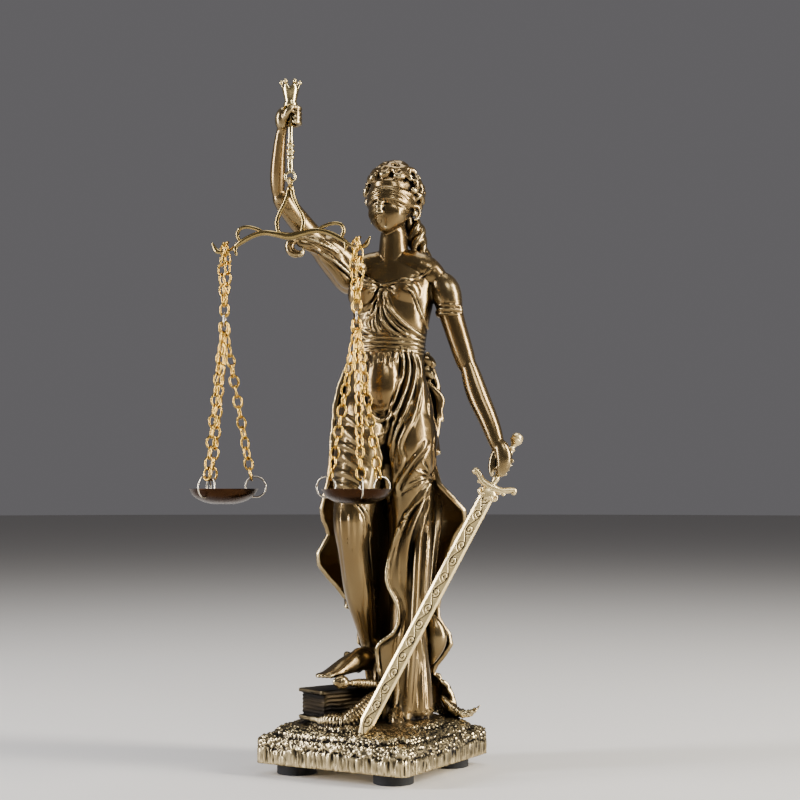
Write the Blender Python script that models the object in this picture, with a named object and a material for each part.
"""A small cast figurine of Lady Justice: a blindfolded woman in draped dress on a rough square plinth.

She stands on a book with a snake round it, lifts a pair of hanging scales in her right hand and rests
a sword on the plinth with her left. Run it in Blender; it builds one object for each separate piece.
Lengths are in metres, +Z is up, and the plinth's front faces -Y.
"""

import math
from functools import partial

import bmesh
import bpy
import numpy as np
from mathutils import Matrix, Vector, noise
from mathutils.bvhtree import BVHTree

# The cast figure
FIGURE_HEIGHT = 0.258
FIGURE_GRID = 258.0
LAYOUT_TURN = math.radians(30.3)
CLAY_STEP = 0.00105
FIGURE_TRIANGLES = 3900
DETAIL_HOLD = 0.012

# The plinth, cast in one with the figure, and the pads under it
PLINTH_SIDE = 0.0787
PLINTH_THICKNESS = 0.013
MOUND_RISE = 0.006
ROUGHNESS = 0.0007
PAD_RADIUS = 0.009
PAD_THICKNESS = 0.005
PAD_INSET = 0.00485

# The book under her foot
BOOK_LENGTH = 0.038
BOOK_WIDTH = 0.018
BOOK_THICKNESS = 0.014

# The hanging scales: a handle held in her fist, a beam below it and a pan at each end of the beam
GRIP_RADIUS = 0.0013
CROWN_HEIGHT = 0.0115
CROWN_RADIUS = 0.0042
CROWN_POINTS = 6
EYE_RADIUS = 0.0022
EYE_WIRE = 0.0006
LOOP_WIRE = 0.001
BEAM_REACH = 0.031
BEAM_WIRE = 0.00115
NECK_WIRE = 0.0006
JUMP_RADIUS = 0.0032
JUMP_WIRE = 0.00045
HOOK_SWING = 46
LINK_WIRE = 0.0005
LINK_WIDTH = 0.0048
LOOP_LINKS = 15
CHAIN_LINKS = 15
NARROW_LINKS = 4
PAN_RADIUS = 0.0155
PAN_DEPTH = 0.007
PAN_WALL = 0.0009
PAN_RIM_HEIGHT = 0.129
PAN_RING_RADIUS = 0.0046
PAN_RING_WIRE = 0.0004
PAN_HOLE_GAP = 0.0004

# The sword
SWORD_GRIP_RADIUS = 0.0016
POMMEL_RADIUS = 0.0029
GUARD_REACH = 0.0102
BLADE_WIDTH = 0.0068
BLADE_THICKNESS = 0.002

# Touching meshes keep this gap, and fused ones run this far into each other
CLEARANCE = 0.0003
BITE = 0.00006


def layout(across, toward, up=0.0):
    """A direction of the figure's own frame, which is turned from the plinth's front."""
    c, s = math.cos(LAYOUT_TURN), math.sin(LAYOUT_TURN)
    return Vector((across * c + toward * s, across * s - toward * c, up))


GRID = FIGURE_HEIGHT / FIGURE_GRID
GROUND = PAD_THICKNESS + CLEARANCE + PLINTH_THICKNESS + MOUND_RISE


def at(across, toward, up):
    """A point of the figure, in shares of its height: 258 grid steps from the ground to her hair."""
    return layout(across, toward, up) * GRID + Vector((0, 0, GROUND))


def spline(points, t):
    """A smooth curve through the points, read at each t from 0 to 1."""
    p = np.array([tuple(v) for v in points], float)
    p = np.vstack([2 * p[0] - p[1], p, 2 * p[-1] - p[-2]])
    spans = len(p) - 3
    t = np.clip(np.asarray(t, float), 0, 1) * spans
    i = np.minimum(t.astype(int), spans - 1)
    u = (t - i)[:, None]
    a, b, c, d = p[i], p[i + 1], p[i + 2], p[i + 3]
    return 0.5 * (2 * b + (c - a) * u + (2 * a - 5 * b + 4 * c - d) * u**2 + (3 * b - a - 3 * c + d) * u**3)


def form(clay, path, wide, deep=None, side=(1, 0, 0), end=3.0, sides=20, rings=24):
    """Adds a rounded limb to the clay: a globe drawn out along the path, with its two half widths."""
    deep = deep or wide
    made = bmesh.ops.create_uvsphere(clay, u_segments=sides, v_segments=rings, radius=1.0)["verts"]
    globe = np.array([tuple(v.co) for v in made])
    t = (1 - globe[:, 2]) / 2
    centre = spline(path, t)
    step = 0.01
    tangent = spline(path, t + step) - spline(path, t - step)
    tangent /= np.linalg.norm(tangent, axis=1)[:, None] + 1e-12
    widths = spline([(w, d, 0) for w, d in zip(wide, deep)], t)
    taper = (1 - np.abs(2 * t - 1) ** end).clip(0) ** (1 / end)
    first = np.array(tuple(side), float) - tangent * (tangent @ np.array(tuple(side), float))[:, None]
    first /= np.linalg.norm(first, axis=1)[:, None] + 1e-12
    second = np.cross(tangent, first)
    around = np.hypot(globe[:, 0], globe[:, 1])[:, None] + 1e-9
    x = first * (globe[:, :1] / around) * (widths[:, :1] * taper[:, None])
    y = second * (globe[:, 1:2] / around) * (widths[:, 1:2] * taper[:, None])
    for vert, place in zip(made, centre + (x + y)):
        vert.co = place


def grid_radii(values):
    return [v * GRID for v in values]


def limb(clay, points, wide, deep=None, side=None, **more):
    """A form laid out in the figure's own frame and grid steps."""
    side = side or layout(1, 0)
    form(clay, [at(*p) for p in points], grid_radii(wide), deep and grid_radii(deep), side, **more)


def sheet(clay, rows, thick, columns=24, lines=30):
    """Adds hanging cloth to the clay: rows of points from its top hem down, each from edge to edge."""
    cloth = bmesh.new()
    bmesh.ops.create_grid(cloth, x_segments=columns, y_segments=lines, size=0.5)
    places = np.array([tuple(v.co) for v in cloth.verts])
    u, v = places[:, 0] + 0.5, 0.5 - places[:, 1]
    table = np.array([spline([at(*p) for p in row], u) for row in rows])
    for k, vert in enumerate(cloth.verts):
        vert.co = spline(table[:, k], v[k : k + 1])[0]
    bmesh.ops.recalc_face_normals(cloth, faces=cloth.faces)
    bmesh.ops.solidify(cloth, geom=cloth.faces, thickness=thick * GRID)
    bmesh.ops.recalc_face_normals(cloth, faces=cloth.faces)
    mesh = bpy.data.meshes.new("cloth")
    cloth.to_mesh(mesh)
    clay.from_mesh(mesh)
    bpy.data.meshes.remove(mesh)
    cloth.free()


SCALES_GRIP = (-36.9, 37, 271)
POMMEL = (65.3, 14, 127.2)
SWORD_POINT = (-6.9, 37, -6.2)
SWORD_AXIS = tuple(b - a for a, b in zip(POMMEL, SWORD_POINT))
SWORD_GRIP = tuple(a + 0.085 * d for a, d in zip(POMMEL, SWORD_AXIS))
TORSO_SIDE = layout(math.cos(math.radians(15)), math.sin(math.radians(15)))


def model_torso(clay):
    sections = [
        (7, 1, 122, 20, 16),
        (6.6, 1, 138, 22.4, 18),
        (5.8, 1, 156, 18.6, 15.5),
        (7.4, 1, 170, 16.5, 12.5),
        (8, 1, 183, 18, 13),
        (8.5, 0.5, 195, 20, 13),
        (8.5, 0, 205, 19, 10.5),
        (8.8, 0, 214, 8.5, 7),
    ]
    limb(clay, [s[:3] for s in sections], [s[3] for s in sections], [s[4] for s in sections],
         side=TORSO_SIDE, end=5.0, sides=32, rings=36)
    limb(clay, [(-16, -6, 203), (-4, -2, 207.5), (9, 0, 209), (22, 4, 207), (33, 6.5, 199)],
         [6, 7, 7, 7.5, 6.5])
    limb(clay, [(8.8, 0, 200), (8.9, 1, 214), (9.2, 2, 230)], [8, 6.9, 6.4])
    for across, toward in ((-4.5, 9.5), (14.5, 11.5)):
        limb(clay, [(across, toward - 6, 196), (across, toward + 3.5, 192)], [8.2, 7.2], end=2.4)


def model_arms(clay):
    limb(clay, [(-13, -4, 204), (-27, 8, 219), (-40, 21, 234), (-43.6, 24.5, 240)], [7, 5.6, 4.8, 4.0])
    limb(clay, [(-43.4, 23.5, 236), (-43.3, 27, 246), (-42.3, 31, 257), (-41, 34, 265), (-39, 36, 271)],
         [4.0, 3.7, 3.0, 2.5, 2.8])
    limb(clay, [(28, 4, 203), (33, 6, 196), (36, 7, 184), (41.5, 8, 166), (44, 9, 157)],
         [7.4, 7.4, 5.6, 5.1, 4.8])
    limb(clay, [(42.3, 8.2, 166), (47.2, 10.7, 149), (53.2, 14.8, 134), (57.2, 18, 121)],
         [4.2, 5.1, 4.4, 3.6], end=4.0)


def fist(clay, centre, grip, palm, reach, count=4, pitch=2.15, thick=1.3, turn=250):
    """Fingers closed round a grip: arcs about its axis, one beside another, starting from the palm's side."""
    axis = Vector(grip).normalized()
    start = Vector(palm) - axis * axis.dot(Vector(palm))
    start.normalize()
    across = axis.cross(start)
    for i in range(count):
        middle = Vector(centre) + axis * ((i - (count - 1) / 2) * pitch)
        points = []
        for k in range(6):
            angle = math.radians(turn * k / 5 - 20)
            points.append(middle + (start * math.cos(angle) + across * math.sin(angle)) * reach)
        widths = [thick * share for share in (1.05, 1.1, 1, 1, 0.95, 0.85)]
        limb(clay, points, widths, sides=12, rings=20)


def model_hands(clay):
    fist(clay, SCALES_GRIP, (0, 0, 1), (-1, -0.5, 0), 4.1)
    limb(clay, [(-40.5, 35, 265), (-41, 36, 270), (-39.5, 36, 275)], [2.6, 3.0, 2.4], [3.2, 4.0, 3.2])
    limb(clay, [(-40, 38, 268), (-38, 41, 272), (-35, 41.2, 275)], [1.5, 1.5, 1.2], sides=12)
    fist(clay, SWORD_GRIP, SWORD_AXIS, (0, 1, 0), 3.3, pitch=2.3, thick=1.35, turn=-250)
    limb(clay, [(56.8, 18.4, 127), (59.2, 19.4, 118.5), (57.4, 19, 110)], [3.2, 3.7, 2.4], [2.6, 2.8, 1.9])
    limb(clay, [(55.5, 17, 123), (53.5, 18.5, 116), (53.5, 19.5, 110)], [1.7, 1.5, 1.2], sides=12)


def model_legs(clay):
    limb(clay, [(-3, 2, 142), (-7, 11, 110), (-9.6, 16, 90), (-9.4, 12.5, 76), (-6.6, 6, 57),
                (-4.2, 1, 43), (-2.6, -2, 34), (-0.8, -4, 24)],
         [13, 10.5, 8.8, 6.8, 6.9, 4.9, 3.9, 4.3], [14, 12, 9.8, 7.8, 7.6, 5.4, 4.3, 4.6], end=6.0, rings=36)
    limb(clay, [(-11.6, 20.2, 86), (-11.6, 19.0, 79.5)], [3.4, 2.9], end=2.2)
    foot_side = layout(0.73, 0.68)
    limb(clay, [(1, -6, 22.5), (-5, 2, 26.2), (-12.4, 9.5, 24.2), (-18.4, 15.6, 21.6), (-22.5, 20, 20.8)],
         [4.0, 4.2, 4.8, 5.2, 4.4], [4.4, 6.0, 4.2, 2.5, 1.6], side=foot_side)
    for i in range(5):
        off, reach = -3.7 + 1.75 * i, 6.4 - 0.75 * abs(i - 1)
        root = (-19.4 + 0.73 * off, 16.6 + 0.68 * off, 21.2)
        tip = (root[0] - 0.68 * reach, root[1] + 0.73 * reach, 20.4)
        limb(clay, [root, tip], [1.1, 1.05], end=4.0)
    limb(clay, [(14, 1, 146), (16, 3.5, 112), (16, 4, 86), (15.5, 3, 55), (16, 2, 30), (17, 2, -3)],
         [13.5, 12, 9.6, 8.6, 9, 12.5], end=8.0, rings=36)


def head_at(x, y, z):
    """A point of the head: x to her left, y out of her face, z up from the chin."""
    turn = math.radians(-26)
    across = x * math.cos(turn) + y * math.sin(turn)
    toward = -x * math.sin(turn) + y * math.cos(turn)
    return (8.1 + across, 2.0 + toward, 222.8 + z)


HEAD_SIDE = layout(math.cos(math.radians(26)), math.sin(math.radians(26)))


def head_form(clay, points, wide, deep=None, **more):
    limb(clay, [head_at(*p) for p in points], wide, deep, side=HEAD_SIDE, **more)


def model_head(clay):
    head_form(clay, [(0, 8.0, 0.2), (0, 5.0, 6.5), (0, 1.5, 14), (0, -1.5, 22), (0, -2, 31.6)],
              [5.0, 8.9, 10.3, 10.6, 8.6], [3.8, 7.7, 10.0, 12.6, 9.8], end=2.7, sides=28, rings=30)
    head_form(clay, [(0, 11.0, 15.5), (0, 12.3, 12), (0, 13.4, 8.9)], [1.0, 1.3, 1.9])
    for z, reach in ((6.0, 11.6), (4.5, 11.3)):
        head_form(clay, [(-3.4, reach - 2.0, z), (0, reach, z), (3.4, reach - 2.0, z)], [0.6, 0.9, 0.6])
    head_form(clay, [(0, 9.0, 0.4), (0, 9.9, 3.0)], [2.4, 2.4])
    head_form(clay, [(0, -0.4, 11.4), (0, -1.8, 19.2)], [11.8, 11.8], [13.9, 13.9], end=7.0, sides=32)
    for side in (-1, 1):
        ear = [(11.0, 0.4, 12.4), (12.2, -2.6, 12.8), (12.5, -4.2, 10.2), (11.8, -3.0, 7.4), (10.8, -0.8, 6.4)]
        head_form(clay, [(x * side, y, z) for x, y, z in ear], [0.9, 1.0, 1.0, 0.9, 0.8], sides=8)
    for x, drop in ((-2.2, 9), (2.0, 7)):
        head_form(clay, [(0, -16.2, 11), (x, -17.2, 5), (x * 1.6, -15.6, 6 - drop)],
                  [1.2, 1.6, 1.4], [0.8, 0.9, 0.8])
    head_form(clay, [(0, -15.6, 9), (0, -15.6, 13)], [2.6, 2.6], [2.0, 2.0], end=2.0)


def hair_way(turn, rise):
    """A direction from the middle of the head: turned from her brow to her left, and risen, in degrees."""
    a, e = math.radians(turn), math.radians(rise)
    return Vector((math.sin(a) * math.cos(e), math.cos(a) * math.cos(e), math.sin(e)))


def hair_spot(way, out=0.0):
    return head_at(way.x * (12.8 + out), way.y * (13.4 + out) - 3.6, way.z * (14.1 + out) + 19.6)


def lock(clay, start, end, waves, swing, wide, phase=0.0):
    """A wavy lock of hair laid over the head from one (turn, rise) to another."""
    a, b = hair_way(*start), hair_way(*end)
    side = a.cross(b).normalized()
    points = []
    steps = 4 * waves + 4
    for k in range(steps + 1):
        t = k / steps
        bend = math.sin(2 * math.pi * waves * t + phase)
        way = (a.slerp(b, t) + side * (math.radians(swing) * bend)).normalized()
        points.append(hair_spot(way, 0.3 * math.cos(4 * math.pi * waves * t + phase)))
    limb(clay, points, [wide * 0.8, wide, wide, wide * 0.9, wide * 0.5], sides=8, rings=6 * waves + 12)


def curl(clay, turn, rise, reach, wide, begin):
    """A short curl that turns round on itself, in degrees about its middle."""
    middle = hair_way(turn, rise)
    side = Vector((math.cos(math.radians(turn)), -math.sin(math.radians(turn)), 0))
    up = side.cross(middle)
    points = []
    for k in range(7):
        angle = math.radians(begin + 42 * k)
        spread = math.radians(reach) * (1 - 0.05 * k)
        way = (middle + (side * math.cos(angle) + up * math.sin(angle)) * spread).normalized()
        points.append(hair_spot(way, 0.9 - 0.12 * k))
    limb(clay, points, [wide, wide, wide * 0.9, wide * 0.6], sides=8, rings=18)


def model_hair(clay):
    head_form(clay, [(0, -4.4, 7), (0, -3.8, 20), (0, -3.6, 33)], [9.5, 11.6, 9.5], [9, 12.8, 11], end=2.6)
    curls = 11
    for i in range(curls):
        t = 2 * i / (curls - 1) - 1
        turn, rise = 86 * t, 52 * (1 - abs(t) ** 2.4) - 14
        curl(clay, turn, rise, 8.5, 1.65, 200 if i % 2 else -40)
        curl(clay, turn * 1.14, rise + 16, 8.5, 1.6, 40 + 150 * (i % 2))
        curl(clay, turn * 1.1, min(rise + 31, 76), 8, 1.6, 120 - 150 * (i % 2))
        lock(clay, (170, 50), (turn * 1.2, min(rise + 36, 80)), 2, 4, 1.6, i * 1.7)
    for turn in (-28, -9, 9, 28):
        lock(clay, (turn, 60), (180 - turn, 56), 2, 4, 2.0, turn)
    for i in range(9):
        t = i / 4 - 1
        lock(clay, (180 - 12 * t, 60), (180 - 62 * t, -34 + 10 * abs(t)), 3, 5, 1.7, i * 2.1)
    for side in (-1, 1):
        for i in range(3):
            lock(clay, (92 * side, 14 - 15 * i), (150 * side, -8 - 13 * i), 2, 4, 1.6, i * 2.0)
    for i in range(4):
        points = []
        for k in range(9):
            down = k / 8
            angle = 2 * math.pi * (0.9 * down + i / 4)
            spine = spline([(17, -5, 232), (19.6, -3, 225), (20.4, -1, 218), (25, 1, 208)], [down])[0]
            points.append((spine[0] + 3.0 * math.cos(angle), spine[1] + 2.4 * math.sin(angle), spine[2]))
        limb(clay, points, [1.9, 2.0, 1.9, 1.2], sides=8, rings=24)


def model_dress(clay):
    """The open drapery: the wide back cloth, the front fall from the hip knot, and the sleeve."""
    back = [
        [(-9, -2, 168), (-4, -11, 168), (7, -13, 168), (18, -10, 168), (24, -2, 168)],
        [(-17, -1, 146), (-10, -16, 146), (7, -19, 146), (22, -15, 146), (30, -3, 146)],
        [(-20, -2, 112), (-12, -14, 113), (6, -18, 113), (22, -10, 113), (27, 6, 111)],
        [(-24, -5, 94), (-12, -20, 93), (8, -24, 93), (28, -16, 93), (41.5, 1, 93)],
        [(-20.5, -6, 83), (-12, -21, 83), (8, -25, 83), (26, -17, 83), (37, -3, 83)],
        [(-26, -6, 71), (-12, -21, 71), (8, -25, 71), (24, -19, 71), (33, -5, 71)],
        [(-15, -9, 57), (-8, -20, 57), (8, -25, 57), (22, -20, 57), (30, -7, 57)],
        [(-8, -12, 44), (-2, -21, 44), (9, -25, 44), (22, -20, 44), (29, -7, 44)],
        [(-6, -13, 33), (0, -21, 33), (10, -25, 33), (24, -20, 33), (35.4, -7, 33)],
        [(-3, -15, 20), (1, -22, 20), (11, -26, 20), (20, -20, 20), (27, -8, 20)],
        [(-2, -16, 11), (3, -23, 11), (12, -27, 11), (23, -21, 11), (34.5, -8, 11)],
        [(-3, -17, -2), (3, -25, -2), (13, -30, -2), (27, -24, -2), (38.5, -8, -2)],
    ]
    sheet(clay, back, 2.4)
    front = [
        [(25.5, 11, 107), (26, 11, 107), (27.4, 6, 107)],
        [(12.5, 16, 89), (19.5, 15.5, 89), (26.5, 4, 89)],
        [(7.8, 16, 78), (16.5, 15, 78), (25.5, 4, 78)],
        [(5.6, 16, 66.5), (15, 14, 66.5), (24.5, 4, 66.5)],
        [(6.4, 15.5, 60), (15, 13.5, 60), (24, 4, 60)],
        [(10.4, 14, 51.5), (17, 13, 51.5), (24, 3, 51.5)],
        [(10.8, 14, 45), (17, 13, 45), (24, 3, 45)],
        [(8.6, 14, 39), (16.5, 13, 39), (24.5, 3, 39)],
        [(2, 13, 34), (13, 13, 34), (25, 3, 34)],
        [(1, 11.5, 28), (13, 13, 28), (25, 4, 28)],
        [(3, 12, 10), (14, 13.5, 10), (26, 4, 10)],
        [(4, 13, -2), (15, 15, -2), (27, 4, -2)],
    ]
    sheet(clay, front, 2.2)
    inner = [
        [(-5, 13, 100), (0, 6, 102), (6, -2, 104)],
        [(-2, 7, 80), (4, 0, 80), (9, -8, 80)],
        [(0, 1, 50), (5, -5, 50), (10, -12, 50)],
        [(1, 2, 20), (6, -3, 20), (11, -12, 20)],
        [(1, 5, -2), (7, 0, -2), (12, -12, -2)],
    ]
    sheet(clay, inner, 2.4, columns=10)
    limb(clay, [(-17.6, -4, 83), (-19.6, -1, 73), (-15.6, -4, 60)], [2.6, 6.2, 3.0], [2.4, 4.4, 2.6], end=2.4)
    limb(clay, [(26, -5, 47), (28.6, -4, 36), (26.4, -6, 23)], [2.6, 5.4, 3.2], [2.6, 4.0, 3.0], end=2.4)
    limb(clay, [(31, -9, 8), (36, -8, 2.5), (42, -7, 0), (46, -6.5, 1.2), (49.6, -6, 4.2)],
         [4.5, 3.6, 3.0, 2.2, 0.8], [2.6, 2.2, 1.8, 1.3, 0.7], side=layout(0, 1))


def model_skirt(clay):
    """The gathered cloth over her hips and thighs, which ends above the bare knee."""
    limb(clay, [(-3, 2, 146), (-5, 8, 128), (-7.5, 12, 108), (-8, 13, 99)],
         [14, 13, 11, 10], [15, 14, 12, 10.5], end=5.0, rings=28)
    limb(clay, [(12, 2, 149), (14.5, 4, 128), (14.6, 4, 110), (16, 4, 94)],
         [14, 15, 13, 9.5], end=4.0, rings=28)
    limb(clay, [(4, 4, 150), (3, 3, 134), (2, -2, 112)], [15, 12, 6], end=3.0)
    limb(clay, [(4.4, 11, 168.5), (4.3, 13.6, 158), (4.2, 14.4, 148), (4.6, 12.2, 139.5)],
         [6.2, 8.0, 7.8, 4.6], [4, 5.6, 5.6, 3.6], end=3.4, rings=28)


def model_sleeves(clay):
    limb(clay, [(-6, -3, 200), (-16, 1, 210), (-26, 9, 219)], [10.5, 8.8, 6.8], end=4.0)
    limb(clay, [(-14, 9, 208), (-21, 14, 213.5), (-28, 18.5, 216.2), (-35, 21.5, 216.2)], [3.2, 3.2, 2.8, 2.0],
         [5.4, 5.0, 4.2, 2.8], side=layout(0.7, -0.7))
    limb(clay, [(-30, 20, 218.6), (-35.4, 21.6, 218.2), (-38.2, 22, 215.2),
                (-37, 22.5, 211.8), (-33.2, 23, 211), (-31.6, 23, 213.4)],
         [1.6, 2.1, 2.2, 2.1, 1.8, 1.2], rings=28)
    limb(clay, [(-10, 2, 199), (-17, 10, 208), (-25, 16, 214)], [6.0, 5.2, 4.0])
    limb(clay, [(34.2, 6.5, 188.6), (35.2, 6.9, 184.6)], [6.5, 6.3], end=5.0)
    limb(clay, [(38.6, 10, 189), (39.8, 9.4, 185)], [1.8, 1.8])


def model_bow(clay):
    """The sash's bow and its two tails, at her left hip."""
    limb(clay, [(19, -3, 166.5), (24.5, -1, 164.8), (28.6, -3, 161.6)],
         [1.6, 2.6, 2.0], [1.4, 2.2, 1.6], side=(0, 0, 1))
    limb(clay, [(20, -3, 161.5), (25, -1, 159.2), (27.6, -3, 155.8)],
         [1.6, 2.6, 1.9], [1.4, 2.0, 1.4], side=(0, 0, 1))
    limb(clay, [(21, -3, 160), (26.6, -2, 152), (30.6, -3, 146.4), (30.2, -3, 141), (31.8, -3, 135.6)],
         [1.5, 1.5, 2.4, 2.0, 1.8], [1.2, 1.4, 1.4, 1.4, 1.2])
    limb(clay, [(20, -8, 160), (24, -10, 148), (25, -11, 134)], [1.8, 2.6, 2.8], [1.2, 1.4, 1.2])


def model_ground(clay):
    """The plinth with its mound, rough on top and split down its sides."""
    slab = bmesh.ops.create_cube(clay, size=1.0)["verts"]
    low = PAD_THICKNESS + CLEARANCE - CLAY_STEP * 2
    high = PAD_THICKNESS + CLEARANCE + PLINTH_THICKNESS
    bmesh.ops.scale(clay, vec=(PLINTH_SIDE, PLINTH_SIDE, high - low), verts=slab)
    bmesh.ops.translate(clay, vec=(0, 0, (low + high) / 2), verts=slab)
    round_over = [edge for edge in {e for vert in slab for e in vert.link_edges}
                  if max(vert.co.z for vert in edge.verts) > high - 0.0001]
    bmesh.ops.bevel(clay, geom=round_over, affect="EDGES", offset=0.0036, segments=3, profile=0.5)
    half = PLINTH_SIDE / 2
    for turn in range(4):
        spin = Matrix.Rotation(math.radians(90 * turn), 3, "Z")
        ends = [spin @ Vector((x * half, -half * 0.62, high)) for x in (-0.8, 0.8)]
        form(clay, ends, [half * 0.34] * 2, [MOUND_RISE * 0.72] * 2, side=spin @ Vector((0, 1, 0)), end=6.0)
    form(clay, [(0, 0, low), (0, 0, GROUND)], [half * 0.86] * 2, [half * 0.86] * 2, end=9.0, sides=32)


def model_book(clay):
    long, short = layout(0.777, -0.629), layout(-0.64, -0.768)
    corner = at(-23, 22, 0)
    slabs = ((0.0, 1.0, 0.0, 0.13), (0.04, 0.93, 0.1, 0.9), (0.0, 1.0, 0.87, 1.0))
    for inset, wide, low, high in slabs:
        for vert in bmesh.ops.create_cube(clay, size=1.0)["verts"]:
            x, y, z = vert.co + Vector((0.5, 0.5, 0.5))
            lift = Vector((0, 0, BOOK_THICKNESS * (low + z * (high - low))))
            vert.co = (corner + long * (BOOK_LENGTH * (inset + x * (1 - inset)))
                       + short * (BOOK_WIDTH * wide * y) + lift)


def model_snake(clay):
    """The snake she treads on: its head under her toes, its body over the book and down before it."""
    limb(clay, [(-12, 20.5, 17.4), (-6, 15.5, 16.8), (1, 12, 15.2), (3.4, 15, 12), (-1.4, 19.5, 9.2),
                (-6.8, 22.5, 4.6), (-12.6, 23.5, 1.0), (-20, 22, 1.4), (-25, 18, 0)],
         [2.2, 2.5, 2.8, 3.1, 3.4, 3.8, 4.0, 3.4, 2.6], sides=16, rings=44)
    limb(clay, [(-11, 20, 17.2), (-14.5, 21.8, 18.0), (-18, 24, 18.6)],
         [2.4, 3.0, 1.6], [2.0, 2.5, 1.5], side=(0, 0, 1))
    limb(clay, [(9, 8, 4), (10, 14, 3.6), (9.8, 19.5, 2.0), (11.3, 25, -1.0), (12.3, 31, -4.2)],
         [3.0, 3.5, 3.5, 3.1, 2.3], sides=16)


def island_faces(clay):
    """The faces of each separate shell of a bmesh."""
    left = set(clay.faces)
    shells = []
    while left:
        stack = [left.pop()]
        shell = list(stack)
        while stack:
            for edge in stack.pop().edges:
                for face in edge.link_faces:
                    if face in left:
                        left.remove(face)
                        stack.append(face)
                        shell.append(face)
        shells.append(shell)
    return shells


def apply_modifiers(obj):
    """Bakes the object's modifiers into its mesh."""
    graph = bpy.context.evaluated_depsgraph_get()
    mesh = bpy.data.meshes.new_from_object(obj.evaluated_get(graph))
    obj.modifiers.clear()
    obj.data = mesh


def new_object(name, clay):
    mesh = bpy.data.meshes.new(name)
    clay.to_mesh(mesh)
    clay.free()
    obj = bpy.data.objects.new(name, mesh)
    bpy.context.scene.collection.objects.link(obj)
    return obj


def front(tree, across, up, behind=False):
    """Where a line from the viewer's side, or from behind, first meets the skin."""
    far = -120 if behind else 120
    hit = tree.ray_cast(at(across, far, up), layout(0, -far).normalized())[0]
    return hit


def stroke(path, width, height, behind=False):
    """A fold along a path of (across, up) points: its half width and its height, below 0 for a cut."""
    return (path, width, height, behind)


def fan(start, ends, count, sag, width, height, behind=False):
    """Folds that spread from one gathered point to a line of ends, with a cut beside each."""
    made = []
    for i in range(count):
        end = spline([(a, u, 0) for a, u in ends], [i / (count - 1)])[0]
        middle = ((start[0] + end[0]) / 2 + sag[0], (start[1] + end[1]) / 2 + sag[1])
        made.append(stroke([start, middle, (end[0], end[1])], width, height, behind))
    for i in range(count - 1):
        end = spline([(a, u, 0) for a, u in ends], [(i + 0.5) / (count - 1)])[0]
        middle = ((start[0] + end[0]) / 2 + sag[0], (start[1] + end[1]) / 2 + sag[1])
        made.append(stroke([start, middle, (end[0], end[1])], width * 0.7, -height, behind))
    return made


def bodice_strokes():
    """The neckline, the folds gathered at the breast knot and the seam at her left side."""
    neckline = [(-10, 209), (-5.6, 203.4), (3.5, 198.4), (11.9, 200), (20.3, 201.4), (28.5, 207.5)]
    made = [stroke(neckline, 0.7, 0.9)]
    folds = [
        [(3.4, 197.5), (1.4, 192.5), (-2.5, 188), (-8, 186)],
        [(3.4, 197), (2.2, 190.5), (0, 185), (-5, 181.5)],
        [(4.4, 197), (6.2, 189.5), (9.2, 184.6), (13.8, 180), (20, 176), (24.9, 174)],
        [(4.1, 196.5), (4.8, 188), (7.2, 182), (12, 177), (18, 174)],
        [(3.7, 196), (3.2, 188), (4.2, 182), (7.8, 177.4), (12.6, 174.4)],
        [(3.2, 196), (1.4, 188), (1.2, 181), (3.6, 175.5)],
        [(-14, 183), (-9, 180), (-4, 177.2), (1.5, 174.6)],
        [(-14, 178.6), (-8, 176), (-3, 173.8)],
    ]
    made += [stroke(path, 0.95, 0.85) for path in folds]
    knot_ends = ((-4, 197.6), (-3, 194.4), (10.4, 197), (9.4, 194))
    made += [stroke([(3.6, 198), end], 0.6, 0.5) for end in knot_ends]
    made.append(stroke([(13.8, 197), (18, 193.8), (21, 186.5), (24.6, 179.4), (26, 176)], 0.7, 0.8))
    return made


def drapery_strokes():
    made = bodice_strokes()
    for up in (172.6, 170.0, 167.6):
        made.append(stroke([(-12, up + 1), (7, up), (26, up - 1)], 0.9, 0.7))
    belly_edge = [(-4.6, 156), (-3.4, 146), (1, 140.6), (6.4, 140.4), (10.4, 146), (12.4, 156), (12, 167)]
    made.append(stroke(belly_edge, 1.3, -1.3))
    for path in PLEATS:
        made.append(stroke(path, 1.1, 1.3))
        made.append(stroke([(a - 1.7, u - 0.3) for a, u in path], 0.9, -1.0))
    made += [stroke(path, 1.3, 1.0) for path in HIP_ROLLS]
    made += fan((26.8, 110.2), [(12, 101.5), (18.5, 110), (21.5, 114), (24, 118)], 4, (0, 0.5), 0.8, 0.6)
    made.append(stroke([(27.4, 112), (27.4, 119), (28.4, 127)], 0.7, -0.8))
    made += fan((26, 107), [(9.4, 82), (13.5, 78), (19, 74)], 3, (0.8, 1.6), 1.2, 0.8)
    for i in range(4):
        up = 132 - i * 7.2
        made.append(stroke([(-17.5, up), (-12, up - 1.2), (-5.5, up - 6)], 1.6, 0.8))
    return made


PLEATS = (
    [(12.8, 168.5), (13.5, 162), (12.4, 153.6), (9.7, 145.2), (7.0, 138), (5.6, 129)],
    [(15.2, 168), (16.2, 160.4), (15.4, 152.8), (12.8, 145.2), (9.6, 136), (7.0, 126), (6.0, 116)],
    [(18, 166.5), (19.1, 159), (18, 151.3), (15.4, 143), (11.4, 133.6), (8.2, 124), (6.6, 114)],
)
HIP_ROLLS = (
    [(20.6, 155), (20.6, 147), (17.8, 137), (13.6, 129.4), (11.8, 123.4), (12.9, 117.6), (11.8, 110)],
    [(24.6, 126), (20.2, 119.8), (17, 115.8), (11.4, 107.4), (10, 102)],
)


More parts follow.
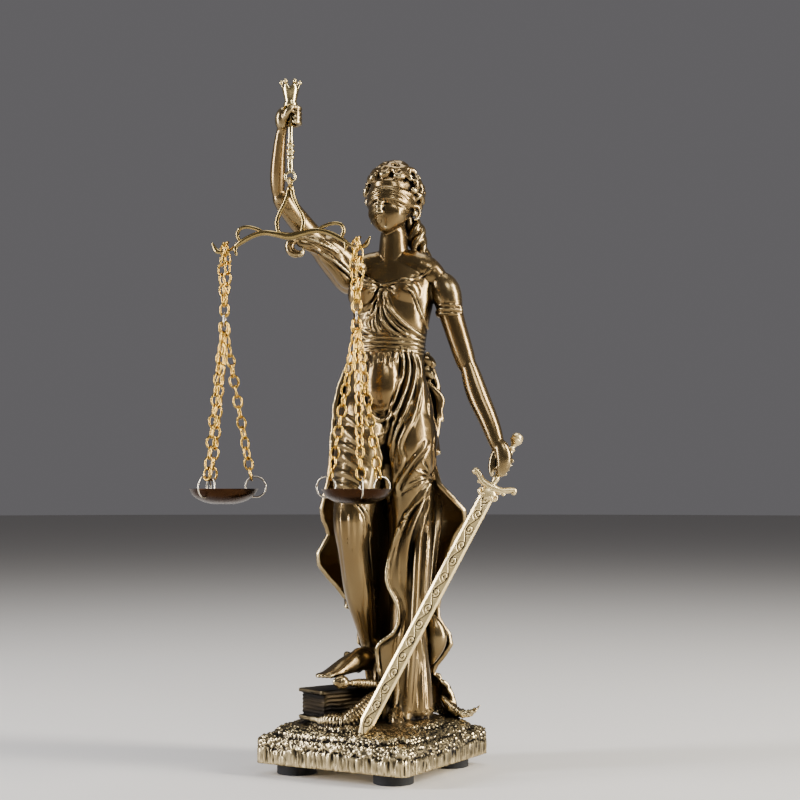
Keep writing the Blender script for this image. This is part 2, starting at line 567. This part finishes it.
def back_strokes():
    made = [stroke([(-10, up), (8, up), (26, up)], 0.9, 0.8, True) for up in (172.6, 170.0, 167.6)]
    for i in range(6):
        top, low = -8 + 6 * i, -18 + 10.5 * i
        fold = [(top, 164), (top * 1.1, 140), (low, 90), (low * 0.8 + 3, 40), (low * 0.9 + 4, 2)]
        shift = (3, 3.5, 5, 5, 5)
        made.append(stroke(fold, 2.0, 1.6, True))
        made.append(stroke([(a + move, u) for (a, u), move in zip(fold, shift)], 1.8, -1.4, True))
    return made


def carve(obj, strokes):
    """Moves the skin out along each fold and in along each cut."""
    mesh = obj.data
    count = len(mesh.vertices)
    places, normals = np.empty(count * 3, np.float32), np.empty(count * 3, np.float32)
    mesh.vertices.foreach_get("co", places)
    mesh.vertices.foreach_get("normal", normals)
    places, normals = places.reshape(-1, 3).astype(float), normals.reshape(-1, 3).astype(float)
    tree = BVHTree.FromPolygons([v.co for v in mesh.vertices], [p.vertices for p in mesh.polygons])
    moved = np.zeros(count)
    for path, width, height, behind in strokes:
        t = np.linspace(0, 1, 28)
        line = spline([(a, u, 0) for a, u in path], t)
        hits = [(front(tree, a, u, behind), s) for (a, u, _), s in zip(line, t)]
        hits = [(tuple(h), s) for h, s in hits if h is not None]
        if len(hits) < 2:
            continue
        points = np.array([h for h, _ in hits])
        fade = np.array([min(1.0, 6 * s + 0.25, 6 * (1 - s)) for _, s in hits])
        reach = width * GRID * 3
        near = np.where(((places > points.min(0) - reach) & (places < points.max(0) + reach)).all(1))[0]
        best, force = np.full(len(near), 1e9), np.zeros(len(near))
        for (a, b), (fa, fb) in zip(zip(points[:-1], points[1:]), zip(fade[:-1], fade[1:])):
            along = b - a
            length = along @ along
            if length > (8 * GRID) ** 2:
                continue
            s = np.clip(((places[near] - a) @ along) / (length + 1e-18), 0, 1)
            gap = ((places[near] - a - s[:, None] * along) ** 2).sum(1)
            closer = gap < best
            best = np.where(closer, gap, best)
            force = np.where(closer, fa + (fb - fa) * s, force)
        moved[near] += height * GRID * force * np.exp(-best / (width * GRID) ** 2)
    places += normals * moved[:, None]
    mesh.vertices.foreach_set("co", places.astype(np.float32).ravel())
    mesh.update()


def roughen(obj):
    """Hammers the plinth's top and splits its sides with upright strokes."""
    half = PLINTH_SIDE / 2
    normals = [vert.normal.copy() for vert in obj.data.vertices]
    for vert, normal in zip(obj.data.vertices, normals):
        x, y, z = vert.co
        if z > GROUND + MOUND_RISE:
            continue
        side = max(abs(x), abs(y)) > half * 0.96 and z < GROUND - MOUND_RISE
        if side:
            along = x if abs(y) > abs(x) else y
            push = 0.6 * noise.noise(Vector((along / 0.0016, z / 0.012, math.copysign(2, x + y))))
        elif z > PAD_THICKNESS + PLINTH_THICKNESS * 0.7:
            push = noise.noise(vert.co / 0.0035) + 0.5 * noise.noise(vert.co / 0.0016)
        else:
            push = 0
        vert.co += normal * (push * ROUGHNESS)


def largest_shell(obj):
    """Keeps the one outer skin, without any hollow the forms closed in."""
    work = bmesh.new()
    work.from_mesh(obj.data)
    shells = sorted(island_faces(work), key=len)
    extra = {vert for shell in shells[:-1] for face in shell for vert in face.verts}
    bmesh.ops.delete(work, geom=list(extra), context="VERTS")
    work.to_mesh(obj.data)
    work.free()


def flat_underside(obj):
    """Planes the plinth's underside where the pads meet it."""
    low = PAD_THICKNESS + CLEARANCE
    work = bmesh.new()
    work.from_mesh(obj.data)
    geom = list(work.verts) + list(work.edges) + list(work.faces)
    bmesh.ops.bisect_plane(work, geom=geom, plane_co=(0, 0, low), plane_no=(0, 0, -1), clear_outer=True)
    rim = [edge for edge in work.edges if edge.is_boundary]
    bmesh.ops.holes_fill(work, edges=rim)
    bmesh.ops.triangulate(work, faces=[face for face in work.faces if len(face.verts) > 4])
    bmesh.ops.recalc_face_normals(work, faces=work.faces)
    work.to_mesh(obj.data)
    work.free()


def thin_out(obj, triangles):
    """Merges flat stretches of the skin until only so many triangles are left, fewest on the head and hands."""
    now = sum(len(face.vertices) - 2 for face in obj.data.polygons)
    kept = obj.vertex_groups.new(name="head and hands")
    for spot, reach in (((9, 0, 242), 21), (SCALES_GRIP, 9), (SWORD_GRIP, 11), ((-15, 17, 17), 12)):
        near = [vert.index for vert in obj.data.vertices if (vert.co - at(*spot)).length < reach * GRID]
        kept.add(near, 0.9, "REPLACE")
    decimate = obj.modifiers.new("fewer facets", "DECIMATE")
    decimate.ratio = triangles / now
    decimate.vertex_group = kept.name
    decimate.invert_vertex_group = True
    decimate.vertex_group_factor = DETAIL_HOLD
    decimate.use_collapse_triangulate = True
    apply_modifiers(obj)


def combine(obj, other, operation):
    """A Boolean of two objects, baked into the first; the second is used up."""
    step = obj.modifiers.new(operation.lower(), "BOOLEAN")
    step.operation = operation
    step.solver = "EXACT"
    step.object = other
    apply_modifiers(obj)
    bpy.data.objects.remove(other)


def cast_figure():
    """The whole cast piece: every form of clay made one skin, carved, and thinned to light facets."""
    clay = bmesh.new()
    for model in (model_torso, model_arms, model_hands, model_legs, model_head, model_hair, model_dress,
                  model_skirt, model_sleeves, model_bow, model_ground, model_book, model_snake):
        model(clay)
    obj = new_object("figure", clay)
    remesh = obj.modifiers.new("one skin", "REMESH")
    remesh.mode = "VOXEL"
    remesh.voxel_size = CLAY_STEP
    smooth = obj.modifiers.new("softened", "SMOOTH")
    smooth.iterations = 2
    apply_modifiers(obj)
    largest_shell(obj)
    carve(obj, drapery_strokes() + back_strokes())
    roughen(obj)
    thin_out(obj, FIGURE_TRIANGLES)
    flat_underside(obj)
    for cutter in (sword_cutter(), handle_cutter()):
        combine(obj, cutter, "DIFFERENCE")
    largest_shell(obj)
    return obj


def frame_of(direction, guide):
    """Two directions square to the first, the first of them as near the guide as can be."""
    axis = Vector(direction).normalized()
    first = (Vector(guide) - axis * axis.dot(Vector(guide))).normalized()
    return axis, first, axis.cross(first)


def skin_rings(made, rings, closed=False):
    """Walls between rows of points, each row a closed ring, with a cap at each end unless they close."""
    rows = [[made.verts.new(point) for point in ring] for ring in rings]
    sides = len(rows[0])
    spans = len(rows) if closed else len(rows) - 1
    for k in range(spans):
        low, high = rows[k], rows[(k + 1) % len(rows)]
        for i in range(sides):
            j = (i + 1) % sides
            made.faces.new((low[i], low[j], high[j], high[i]))
    if not closed:
        made.faces.new(list(reversed(rows[0])))
        made.faces.new(rows[-1])


def turned(made, centre, axis, profile, sides, guide=(1, 0, 0)):
    """A solid turned about an axis, from (distance along it, radius) pairs."""
    axis, first, second = frame_of(axis, guide)
    rings = []
    for along, radius in profile:
        middle = Vector(centre) + axis * along
        rings.append([middle + (first * math.cos(a) + second * math.sin(a)) * radius
                      for a in (2 * math.pi * (i + 0.5) / sides for i in range(sides))])
    skin_rings(made, rings)


def swept(made, points, radii, sides, guide, closed=False, flat=1.0):
    """A round bar along a path; flat squashes it across the guide direction."""
    points = [Vector(p) for p in points]
    rings = []
    for k, point in enumerate(points):
        before = points[k - 1] if closed or k else point
        after = points[(k + 1) % len(points)] if closed or k < len(points) - 1 else point
        _, first, second = frame_of(after - before, guide)
        rings.append([point + (first * math.cos(a) * flat + second * math.sin(a)) * radii[k % len(radii)]
                      for a in (2 * math.pi * (i + 0.5) / sides for i in range(sides))])
    skin_rings(made, rings, closed)


def smooth_path(points, count):
    return [Vector(p) for p in spline(points, np.linspace(0, 1, count))]


def wire_ring(made, centre, normal, radius, wire, around=10, sides=4):
    axis, first, second = frame_of(normal, (0.1, 0.2, 1))
    points = [Vector(centre) + (first * math.cos(a) + second * math.sin(a)) * radius
              for a in (2 * math.pi * i / around for i in range(around))]
    swept(made, points, [wire], sides, axis, closed=True)


def fused(name, builders):
    """One closed body out of shells that run into each other."""
    whole = None
    for builder in builders:
        made = bmesh.new()
        builder(made)
        bmesh.ops.recalc_face_normals(made, faces=made.faces)
        piece = new_object(name if whole is None else "shell", made)
        if whole is None:
            whole = piece
        else:
            combine(whole, piece, "UNION")
    return whole


TOWARD = layout(0, 1)
BEAM_ALONG = layout(0.9645, 0.2638)
GRIP_TOP = at(SCALES_GRIP[0], SCALES_GRIP[1], 275.4)
EYE_CENTRE = at(SCALES_GRIP[0], SCALES_GRIP[1], 243.7)
BEAM_CENTRE = at(SCALES_GRIP[0], SCALES_GRIP[1], 216.7)
LOOP_TOP = EYE_CENTRE - Vector((0, 0, EYE_RADIUS + EYE_RADIUS * 0.86 - EYE_WIRE - LOOP_WIRE * 0.6 - CLEARANCE))


def scale_handle():
    """The pointed crown above her fist, the turned rod below it and the eye the beam hangs from."""
    length = (GRIP_TOP - EYE_CENTRE).z - EYE_RADIUS
    profile = [
        (-0.2, GRIP_RADIUS * 0.9), (0, GRIP_RADIUS * 0.9), (10.6, GRIP_RADIUS * 0.9), (16.5, GRIP_RADIUS * 1.1),
        (17.6, GRIP_RADIUS * 1.45), (18.8, GRIP_RADIUS), (20.2, GRIP_RADIUS * 1.55), (22.0, GRIP_RADIUS * 1.2),
        (23.2, GRIP_RADIUS * 1.4), (24.6, GRIP_RADIUS * 0.9), (length / GRID, GRIP_RADIUS * 0.8),
    ]

    def rod(made):
        turned(made, GRIP_TOP, (0, 0, -1), [(a * GRID, r) for a, r in profile], 6)

    def crown(made):
        sides = CROWN_POINTS * 2
        rows = [(-0.4, 0.74, 0), (2.6, 0.66, 0), (7.5, 0.92, 0),
                (9.4, 1.0, 1.1), (8.6, 0.8, 1.0), (5.2, 0.4, 0)]
        rings = []
        for up, wide, crest in rows:
            rings.append([])
            for i in range(sides):
                angle = math.pi * i / CROWN_POINTS
                lift = (up + crest * (1 if i % 2 else -1)) * GRID
                arm = Vector((math.cos(angle), math.sin(angle), 0)) * (CROWN_RADIUS * wide)
                rings[-1].append(GRIP_TOP + arm + Vector((0, 0, lift)))
        skin_rings(made, rings)

    def points(made):
        for i in range(CROWN_POINTS):
            angle = math.pi * (2 * i + 1) / CROWN_POINTS
            tip = GRIP_TOP + Vector((math.cos(angle), math.sin(angle), 0)) * CROWN_RADIUS
            tip += Vector((0, 0, 10.6 * GRID))
            turned(made, tip, (0, 0, 1), [(-0.0009, 0.0003), (0.0, 0.001), (0.0009, 0.0003)], 5)

    def eye(made):
        wire_ring(made, EYE_CENTRE, TOWARD, EYE_RADIUS, EYE_WIRE, 10, 5)

    return fused("scale_handle", [rod, crown, points, eye])


def beam_point(along, lift, out=0.0):
    """A point of the beam: along its arms from the middle, up, and out to the viewer's side."""
    across = BEAM_ALONG.cross(Vector((0, 0, 1)))
    return BEAM_CENTRE + BEAM_ALONG * along + Vector((0, 0, lift)) + across * out


def scale_beam():
    """The pear-shaped loop and the two curled arms, cast in one."""
    front_side = BEAM_ALONG.cross(Vector((0, 0, 1)))
    reach = BEAM_REACH

    def arms(made):
        heights = [(-1.04, -5.8), (-0.9, -4.6), (-0.76, -1.7), (-0.56, 1.3),
                   (-0.38, 2.3), (-0.19, 1.3), (0, 0.2)]
        heights += [(-u, z) for u, z in reversed(heights[:-1])]
        points = smooth_path([beam_point(u * reach, z * GRID) for u, z in heights], 19)
        outer = [NECK_WIRE] * 2 + [NECK_WIRE * 1.25] + [BEAM_WIRE] * 3 + [BEAM_WIRE * 1.15] * 2
        wires = outer + [BEAM_WIRE * 1.4] * 3 + outer[::-1]
        swept(made, points, wires, 5, front_side)

    def loop(side):
        half = [(0.75, 22.6), (1.3, 18.5), (3.2, 14), (5.2, 10.4), (6.2, 7), (6.0, 4), (5.0, 1.0)]
        return smooth_path([beam_point(side * u * GRID, z * GRID) for u, z in half], 8), [LOOP_WIRE]

    def curl(side):
        path = [(12.0, 2.0), (15.5, 4.0), (20, 5.2), (23.6, 4.6), (25, 2.0), (24, -1.0)]
        return smooth_path([beam_point(side * u * GRID, z * GRID) for u, z in path], 7), [BEAM_WIRE * 0.7]

    def horn(side):
        path = [(0.8, -5.8), (4.0, -5.0), (6.2, -1.2)]
        points = smooth_path([beam_point(side * (reach + u * GRID), z * GRID) for u, z in path], 4)
        return points, [NECK_WIRE * 0.8, BEAM_WIRE, BEAM_WIRE * 0.8, 0.0002]

    def spur(side):
        path = [(-6.0, -2.2), (-5.0, -4.6), (-5.6, -7.6)]
        points = smooth_path([beam_point(side * (reach + u * GRID), z * GRID) for u, z in path], 4)
        return points, [NECK_WIRE, BEAM_WIRE * 0.8, BEAM_WIRE * 0.7, 0.0002]

    def top(made):
        wire_ring(made, LOOP_TOP, BEAM_ALONG, EYE_RADIUS * 0.86, LOOP_WIRE * 0.6, 10, 4)

    def collar(made):
        turned(made, LOOP_TOP - Vector((0, 0, EYE_RADIUS * 0.8)), (0, 0, -1),
               [(0, 0.0008), (0.0004, 0.0015), (0.0012, 0.0017), (0.0022, 0.0014)], 6)

    shells = [arms]
    for kind in (loop, curl, horn, spur):
        for side in (-1, 1):
            points, wires = kind(side)
            shells.append(partial(swept, points=points, radii=wires, sides=4, guide=front_side))
    return fused("scale_beam", shells + [collar, top])


def link(made, start, end, face, bite_start=BITE, bite_end=BITE, narrow=False):
    """A chain link whose inner ends lie at start and end, flat across the face direction."""
    axis, normal, wide = frame_of(Vector(end) - Vector(start), face)
    middle = (Vector(start) + Vector(end)) / 2 + axis * ((bite_start - bite_end) / 4)
    inner = (Vector(end) - Vector(start)).length - (bite_start + bite_end) / 2
    tall = inner / 2 + LINK_WIRE
    side = LINK_WIDTH / 2 - LINK_WIRE / 2
    if narrow:
        outline = [(0.5 * side, tall), (side, 0), (0.5 * side, -tall)]
        outline += [(-x, -z) for x, z in outline]
    else:
        outline = [(0.78 * side, tall), (0.78 * side, -tall), (-0.78 * side, -tall), (-0.78 * side, tall)]
    rings = []
    for k, (x, y) in enumerate(outline):
        before, after = Vector(outline[k - 1]), Vector(outline[(k + 1) % len(outline)])
        here = Vector((x, y))
        a, b = (here - before).normalized(), (after - here).normalized()
        out = Vector((-(a + b).y, (a + b).x)).normalized()
        mitre = 1 / max(0.4, out.dot(Vector((-a.y, a.x))))
        ring = []
        for level, lift in ((-1, 0), (0.5, 0.866), (0.5, -0.866)):
            flat = here + out * (level * LINK_WIRE * mitre)
            ring.append(middle + wide * flat.x - axis * flat.y + normal * (lift * LINK_WIRE))
        rings.append(ring)
    skin_rings(made, rings, closed=True)


def chain(name, contacts, faces):
    """Links from contact to contact, each turned across the one before, fused where they touch."""
    parity = []
    for first in (0, 1):
        made = bmesh.new()
        for k in range(first, len(contacts) - 1, 2):
            link(made, contacts[k], contacts[k + 1], faces[k],
                 0 if k == 0 else BITE, 0 if k == len(contacts) - 2 else BITE, k < NARROW_LINKS)
        bmesh.ops.recalc_face_normals(made, faces=made.faces)
        parity.append(new_object(name if first == 0 else "shell", made))
    combine(parity[0], parity[1], "UNION")
    return parity[0]


def straight_chain(name, upper, lower, first_face, last_face):
    """A hanging chain between two wires it hooks over, with a slow twist from end to end."""
    along = (Vector(lower) - Vector(upper)).normalized()
    start = Vector(upper) - along * (JUMP_WIRE + CLEARANCE)
    end = Vector(lower) + along * (PAN_RING_WIRE + CLEARANCE)
    contacts = [start.lerp(end, k / CHAIN_LINKS) for k in range(CHAIN_LINKS + 1)]
    _, first, second = frame_of(along, first_face)
    _, last, _ = frame_of(along, last_face)
    quarter = math.pi / 2
    whole = math.atan2(last.dot(second), last.dot(first))
    drift = (whole - quarter * (CHAIN_LINKS - 1) + quarter) % math.pi - quarter
    faces = []
    for k in range(CHAIN_LINKS):
        angle = quarter * k + drift * k / (CHAIN_LINKS - 1)
        faces.append(first * math.cos(angle) + second * math.sin(angle))
    return chain(name, contacts, faces)


def doubled_chain(name, beam_end, jump):
    """The chain doubled over a beam end, with both its ends on the jump ring."""
    spread = JUMP_RADIUS * 0.52
    low = math.sqrt(JUMP_RADIUS**2 - spread**2) - JUMP_WIRE - CLEARANCE
    high = beam_end.z - jump.z
    half = [(0, spread, low), (0.7 * GRID, 2.0 * GRID, high * 0.34), (1.4 * GRID, 2.6 * GRID, high * 0.58),
            (1.6 * GRID, 3.3 * GRID, high * 0.8), (0.7 * GRID, 3.9 * GRID, high - 1.6 * GRID),
            (0.2 * GRID, 2.6 * GRID, high + 1.9 * GRID), (0, 0, high + 2.7 * GRID)]
    path = half + [(-a, -t, z) for a, t, z in reversed(half[:-1])]
    fine = smooth_path([jump + layout(a, t, z) for a, t, z in path], 600)
    steps = [0.0]
    for a, b in zip(fine[:-1], fine[1:]):
        steps.append(steps[-1] + (b - a).length)
    contacts = []
    for k in range(LOOP_LINKS + 1):
        want = steps[-1] * k / LOOP_LINKS
        near = min(range(len(steps)), key=lambda i: abs(steps[i] - want))
        contacts.append(fine[near])
    axes = [(b - a).normalized() for a, b in zip(contacts[:-1], contacts[1:])]
    carried = [frame_of(axes[0], TOWARD)[1]]
    for axis in axes[1:]:
        carried.append(frame_of(axis, carried[-1])[1])
    _, end_face, end_side = frame_of(axes[-1], carried[-1])
    last = frame_of(axes[-1], TOWARD)[1]
    quarter = math.pi / 2
    whole = math.atan2(last.dot(end_side), last.dot(end_face))
    drift = (whole - quarter * (LOOP_LINKS - 1) + quarter) % math.pi - quarter
    faces = []
    for k, (axis, face) in enumerate(zip(axes, carried)):
        angle = quarter * k + drift * k / (LOOP_LINKS - 1)
        faces.append(face * math.cos(angle) + axis.cross(face) * math.sin(angle))
    return chain(name, contacts, faces)


def ring_piece(name, centre, normal, radius, wire):
    made = bmesh.new()
    wire_ring(made, centre, normal, radius, wire, 10, 3)
    bmesh.ops.recalc_face_normals(made, faces=made.faces)
    return new_object(name, made)


def pan_piece(name, centre, tilt, hooks):
    """A shallow bowl of sheet with a hole for each ring, hung a little out of level."""
    sides = 18
    outer = [(0, 0), (0.30, 0.03), (0.62, 0.2), (0.86, 0.52), (1.0, 1.0)]
    wall = PAN_WALL
    profile = [(PAN_RADIUS * r, PAN_DEPTH * z) for r, z in outer[1:]]
    inside = [(PAN_RADIUS * r - wall * 0.75 * r, PAN_DEPTH * z + wall * (1 - 0.55 * z)) for r, z in outer[1:]]
    inside[-1] = (PAN_RADIUS - wall * 0.8, PAN_DEPTH)
    rows = profile + list(reversed(inside))
    made = bmesh.new()
    rings = [[centre + tilt @ Vector((r * math.cos(a), r * math.sin(a), z - PAN_DEPTH))
              for a in (2 * math.pi * i / sides for i in range(sides))] for r, z in rows]
    skin_rings(made, rings)
    bmesh.ops.recalc_face_normals(made, faces=made.faces)
    obj = new_object(name, made)
    for middle, tangent in hooks:
        cutter = bmesh.new()
        wire_ring(cutter, middle, tangent, PAN_RING_RADIUS, PAN_RING_WIRE + PAN_HOLE_GAP, 10, 5)
        bmesh.ops.recalc_face_normals(cutter, faces=cutter.faces)
        combine(obj, new_object("hole", cutter), "DIFFERENCE")
    return obj


def scale_side(tag, side, angles, places, turns):
    """Everything that hangs from one end of the beam."""
    beam_end = beam_point(side * BEAM_REACH, -4.6 * GRID)
    jump = beam_end - Vector((0, 0, 0.0316))
    doubled_chain("chain_loop_" + tag, beam_end, jump)
    ring_piece("jump_ring_" + tag, jump, layout(1, 0), JUMP_RADIUS, JUMP_WIRE)
    centre = Vector((jump.x, jump.y, PAN_RIM_HEIGHT))
    tilt = Matrix.Identity(3)
    hooks = []
    for name, angle, place, turn in zip("abc", angles, places, turns):
        out = layout(math.cos(math.radians(angle)), math.sin(math.radians(angle)))
        middle = centre + out * (PAN_RADIUS - 0.0012) + Vector((0, 0, 0.0008))
        tangent = out.cross(Vector((0, 0, 1)))
        hang = math.radians(64)
        top = middle + (Vector((0, 0, 1)) * math.sin(hang) - out * math.cos(hang)) * PAN_RING_RADIUS
        swing = math.radians(HOOK_SWING * place)
        face = layout(math.sin(math.radians(turn)), math.cos(math.radians(turn)))
        upper = jump + (TOWARD * math.sin(swing) - Vector((0, 0, 1)) * math.cos(swing)) * JUMP_RADIUS
        straight_chain("pan_chain_" + tag + "_" + name, upper, top, face, out)
        ring_piece("pan_ring_" + tag + "_" + name, middle, tangent, PAN_RING_RADIUS, PAN_RING_WIRE)
        hooks.append((middle, tangent))
    pan_piece("pan_" + tag, centre, tilt, hooks)


def sword_point(along, side=0.0, out=0.0):
    """A point of the sword: along it from the pommel, across its blade and out of its face."""
    start, end = at(*POMMEL), at(*SWORD_POINT)
    axis, face, wide = frame_of(end - start, TOWARD)
    return start + axis * along + wide * side + face * out


def sword():
    """The pommel, grip, winged guard and double-edged blade, cast in one."""
    start, end = at(*POMMEL), at(*SWORD_POINT)
    axis, face, wide = frame_of(end - start, TOWARD)
    total = (end - start).length - CLEARANCE
    ball = POMMEL_RADIUS
    grip = SWORD_GRIP_RADIUS
    guard_at = total * 0.158

    def handle(made):
        rows = [(-1.0, 0.3), (-0.7, 0.75), (0.0, 1.0), (0.7, 0.75)]
        profile = [(a * ball, r * ball) for a, r in rows]
        profile += [(0.0028, grip * 0.8), (0.0042, grip * 1.1), (0.006, grip), (guard_at - 0.002, grip),
                    (guard_at, grip * 1.2), (guard_at + 0.002, grip)]
        turned(made, start, axis, profile, 8, face)

    def guard(made):
        rows = [(-1.0, -2.6, 0.5), (-0.82, -2.0, 1.6), (-0.45, 0.2, 1.9), (0, 1.0, 2.5), (0.45, 0.2, 1.9),
                (0.82, -2.0, 1.6), (1.0, -2.6, 0.5)]
        points = [sword_point(guard_at + z * GRID, x * GUARD_REACH) for x, z, _ in rows]
        swept(made, points, [w * GRID for _, _, w in rows], 6, face, flat=0.7)

    def boss(made):
        rows = [(1.5, 1.8), (3.4, 3.2), (5.0, 4.4), (6.6, 3.4), (8.0, 2.4)]
        rings = []
        for along, half in rows:
            middle = sword_point(guard_at + along * GRID)
            rings.append([middle + wide * (half * GRID * math.cos(a)) + face * (0.0017 * math.sin(a))
                          for a in (2 * math.pi * i / 8 for i in range(8))])
        skin_rings(made, rings)

    def blade(made):
        half, thick, flat = BLADE_WIDTH / 2, BLADE_THICKNESS / 2, BLADE_WIDTH * 0.28
        rings = []
        section = [(half, 0), (flat, thick), (-flat, thick)]
        section += [(-x, -y) for x, y in section]
        stations = ((guard_at + 0.004, 0.9), (guard_at + 0.012, 1.0), (total - 0.0095, 0.94), (total, 0.06))
        for along, size in stations:
            rings.append([sword_point(along, x * size, y * min(1.0, size * 1.4)) for x, y in section])
        skin_rings(made, rings)

    return fused("sword", [handle, guard, boss, blade])


def sword_cutter():
    """The room the sword takes in the figure, with the gap."""
    start, end = at(*POMMEL), at(*SWORD_POINT)
    made = bmesh.new()
    turned(made, sword_point(0.0032), end - start,
           [(0, SWORD_GRIP_RADIUS * 1.1 + CLEARANCE), (0.158 * (end - start).length - 0.0052,
                                                      SWORD_GRIP_RADIUS * 1.1 + CLEARANCE)], 10, TOWARD)
    gap = CLEARANCE + 0.0002
    half, thick = BLADE_WIDTH / 2 + gap, BLADE_THICKNESS / 2 + gap
    rings = []
    for along in (0.05, (end - start).length + gap):
        rings.append([sword_point(along, x, y) for x, y in ((half, -thick), (half, thick), (-half, thick),
                                                            (-half, -thick))])
    skin_rings(made, rings)
    bmesh.ops.recalc_face_normals(made, faces=made.faces)
    return new_object("sword room", made)


def handle_cutter():
    """The room the scales' handle takes in her fist, with the gap."""
    made = bmesh.new()
    turned(made, GRIP_TOP + Vector((0, 0, 0.004)), (0, 0, -1),
           [(0, CROWN_RADIUS * 0.8 + CLEARANCE), (0.0044 + CLEARANCE, CROWN_RADIUS * 0.8 + CLEARANCE),
            (0.0044 + CLEARANCE * 1.01, GRIP_RADIUS * 1.1 + CLEARANCE), (0.022, GRIP_RADIUS * 1.1 + CLEARANCE)], 10)
    bmesh.ops.recalc_face_normals(made, faces=made.faces)
    return new_object("handle room", made)


def pads():
    """Four round soft feet stuck under the plinth's corners."""
    middle = PLINTH_SIDE / 2 - PAD_INSET - PAD_RADIUS
    corners = (("front_left", -1, -1), ("front_right", 1, -1), ("back_left", -1, 1), ("back_right", 1, 1))
    for name, x, y in corners:
        made = bmesh.new()
        turned(made, (x * middle, y * middle, 0), (0, 0, 1), [(0, PAD_RADIUS), (PAD_THICKNESS, PAD_RADIUS)], 18)
        bmesh.ops.recalc_face_normals(made, faces=made.faces)
        new_object("pad_" + name, made)


MATERIALS = {
    "figure": ("antique bronze", (0.105, 0.062, 0.025), 0.36, 0.9),
    "sword": ("bright gold", (0.62, 0.47, 0.22), 0.34, 0.95),
    "scale_handle": ("pale gold", (0.40, 0.31, 0.16), 0.36, 0.95),
    "scale_beam": ("pale gold", (0.34, 0.26, 0.14), 0.38, 0.95),
    "chain_loop": ("gold wire", (0.66, 0.47, 0.15), 0.3, 1.0),
    "pan_chain": ("gold wire", (0.66, 0.47, 0.15), 0.3, 1.0),
    "jump_ring": ("silver wire", (0.56, 0.54, 0.50), 0.26, 1.0),
    "pan_ring": ("silver wire", (0.56, 0.54, 0.50), 0.26, 1.0),
    "pan": ("dark brown metal", (0.075, 0.035, 0.018), 0.42, 0.85),
    "pad": ("black foam", (0.008, 0.008, 0.009), 0.85, 0.0),
}


def paint(obj):
    """Gives an object a material of its own in its piece's colour."""
    kind = max((key for key in MATERIALS if obj.name.startswith(key)), key=len)
    label, colour, rough, metal = MATERIALS[kind]
    material = bpy.data.materials.new(obj.name + " " + label)
    material.use_nodes = True
    shader = material.node_tree.nodes["Principled BSDF"]
    shader.inputs["Base Color"].default_value = (*colour, 1)
    shader.inputs["Roughness"].default_value = rough
    shader.inputs["Metallic"].default_value = metal
    obj.data.materials.clear()
    obj.data.materials.append(material)
    if kind != "pad":
        for face in obj.data.polygons:
            face.use_smooth = True


def clear_scene():
    for obj in list(bpy.data.objects):
        bpy.data.objects.remove(obj)


def centre_on_base():
    """Moves every piece so that the middle of the whole box's underside is the origin."""
    corners = [obj.matrix_world @ Vector(corner) for obj in bpy.data.objects for corner in obj.bound_box]
    middle = [(min(c[i] for c in corners) + max(c[i] for c in corners)) / 2 for i in (0, 1)]
    for obj in bpy.data.objects:
        obj.data.transform(Matrix.Translation((-middle[0], -middle[1], 0)))


def main():
    clear_scene()
    cast_figure()
    sword()
    scale_handle()
    scale_beam()
    scale_side("left", -1, (0, 120, 240), (-0.08, 1.08, -1), (0, 0, 0))
    scale_side("right", 1, (80, 320, 200), (1, -1, 0), (0, 0, -14))
    pads()
    bpy.context.view_layer.update()
    centre_on_base()
    for obj in list(bpy.data.objects):
        paint(obj)


main()
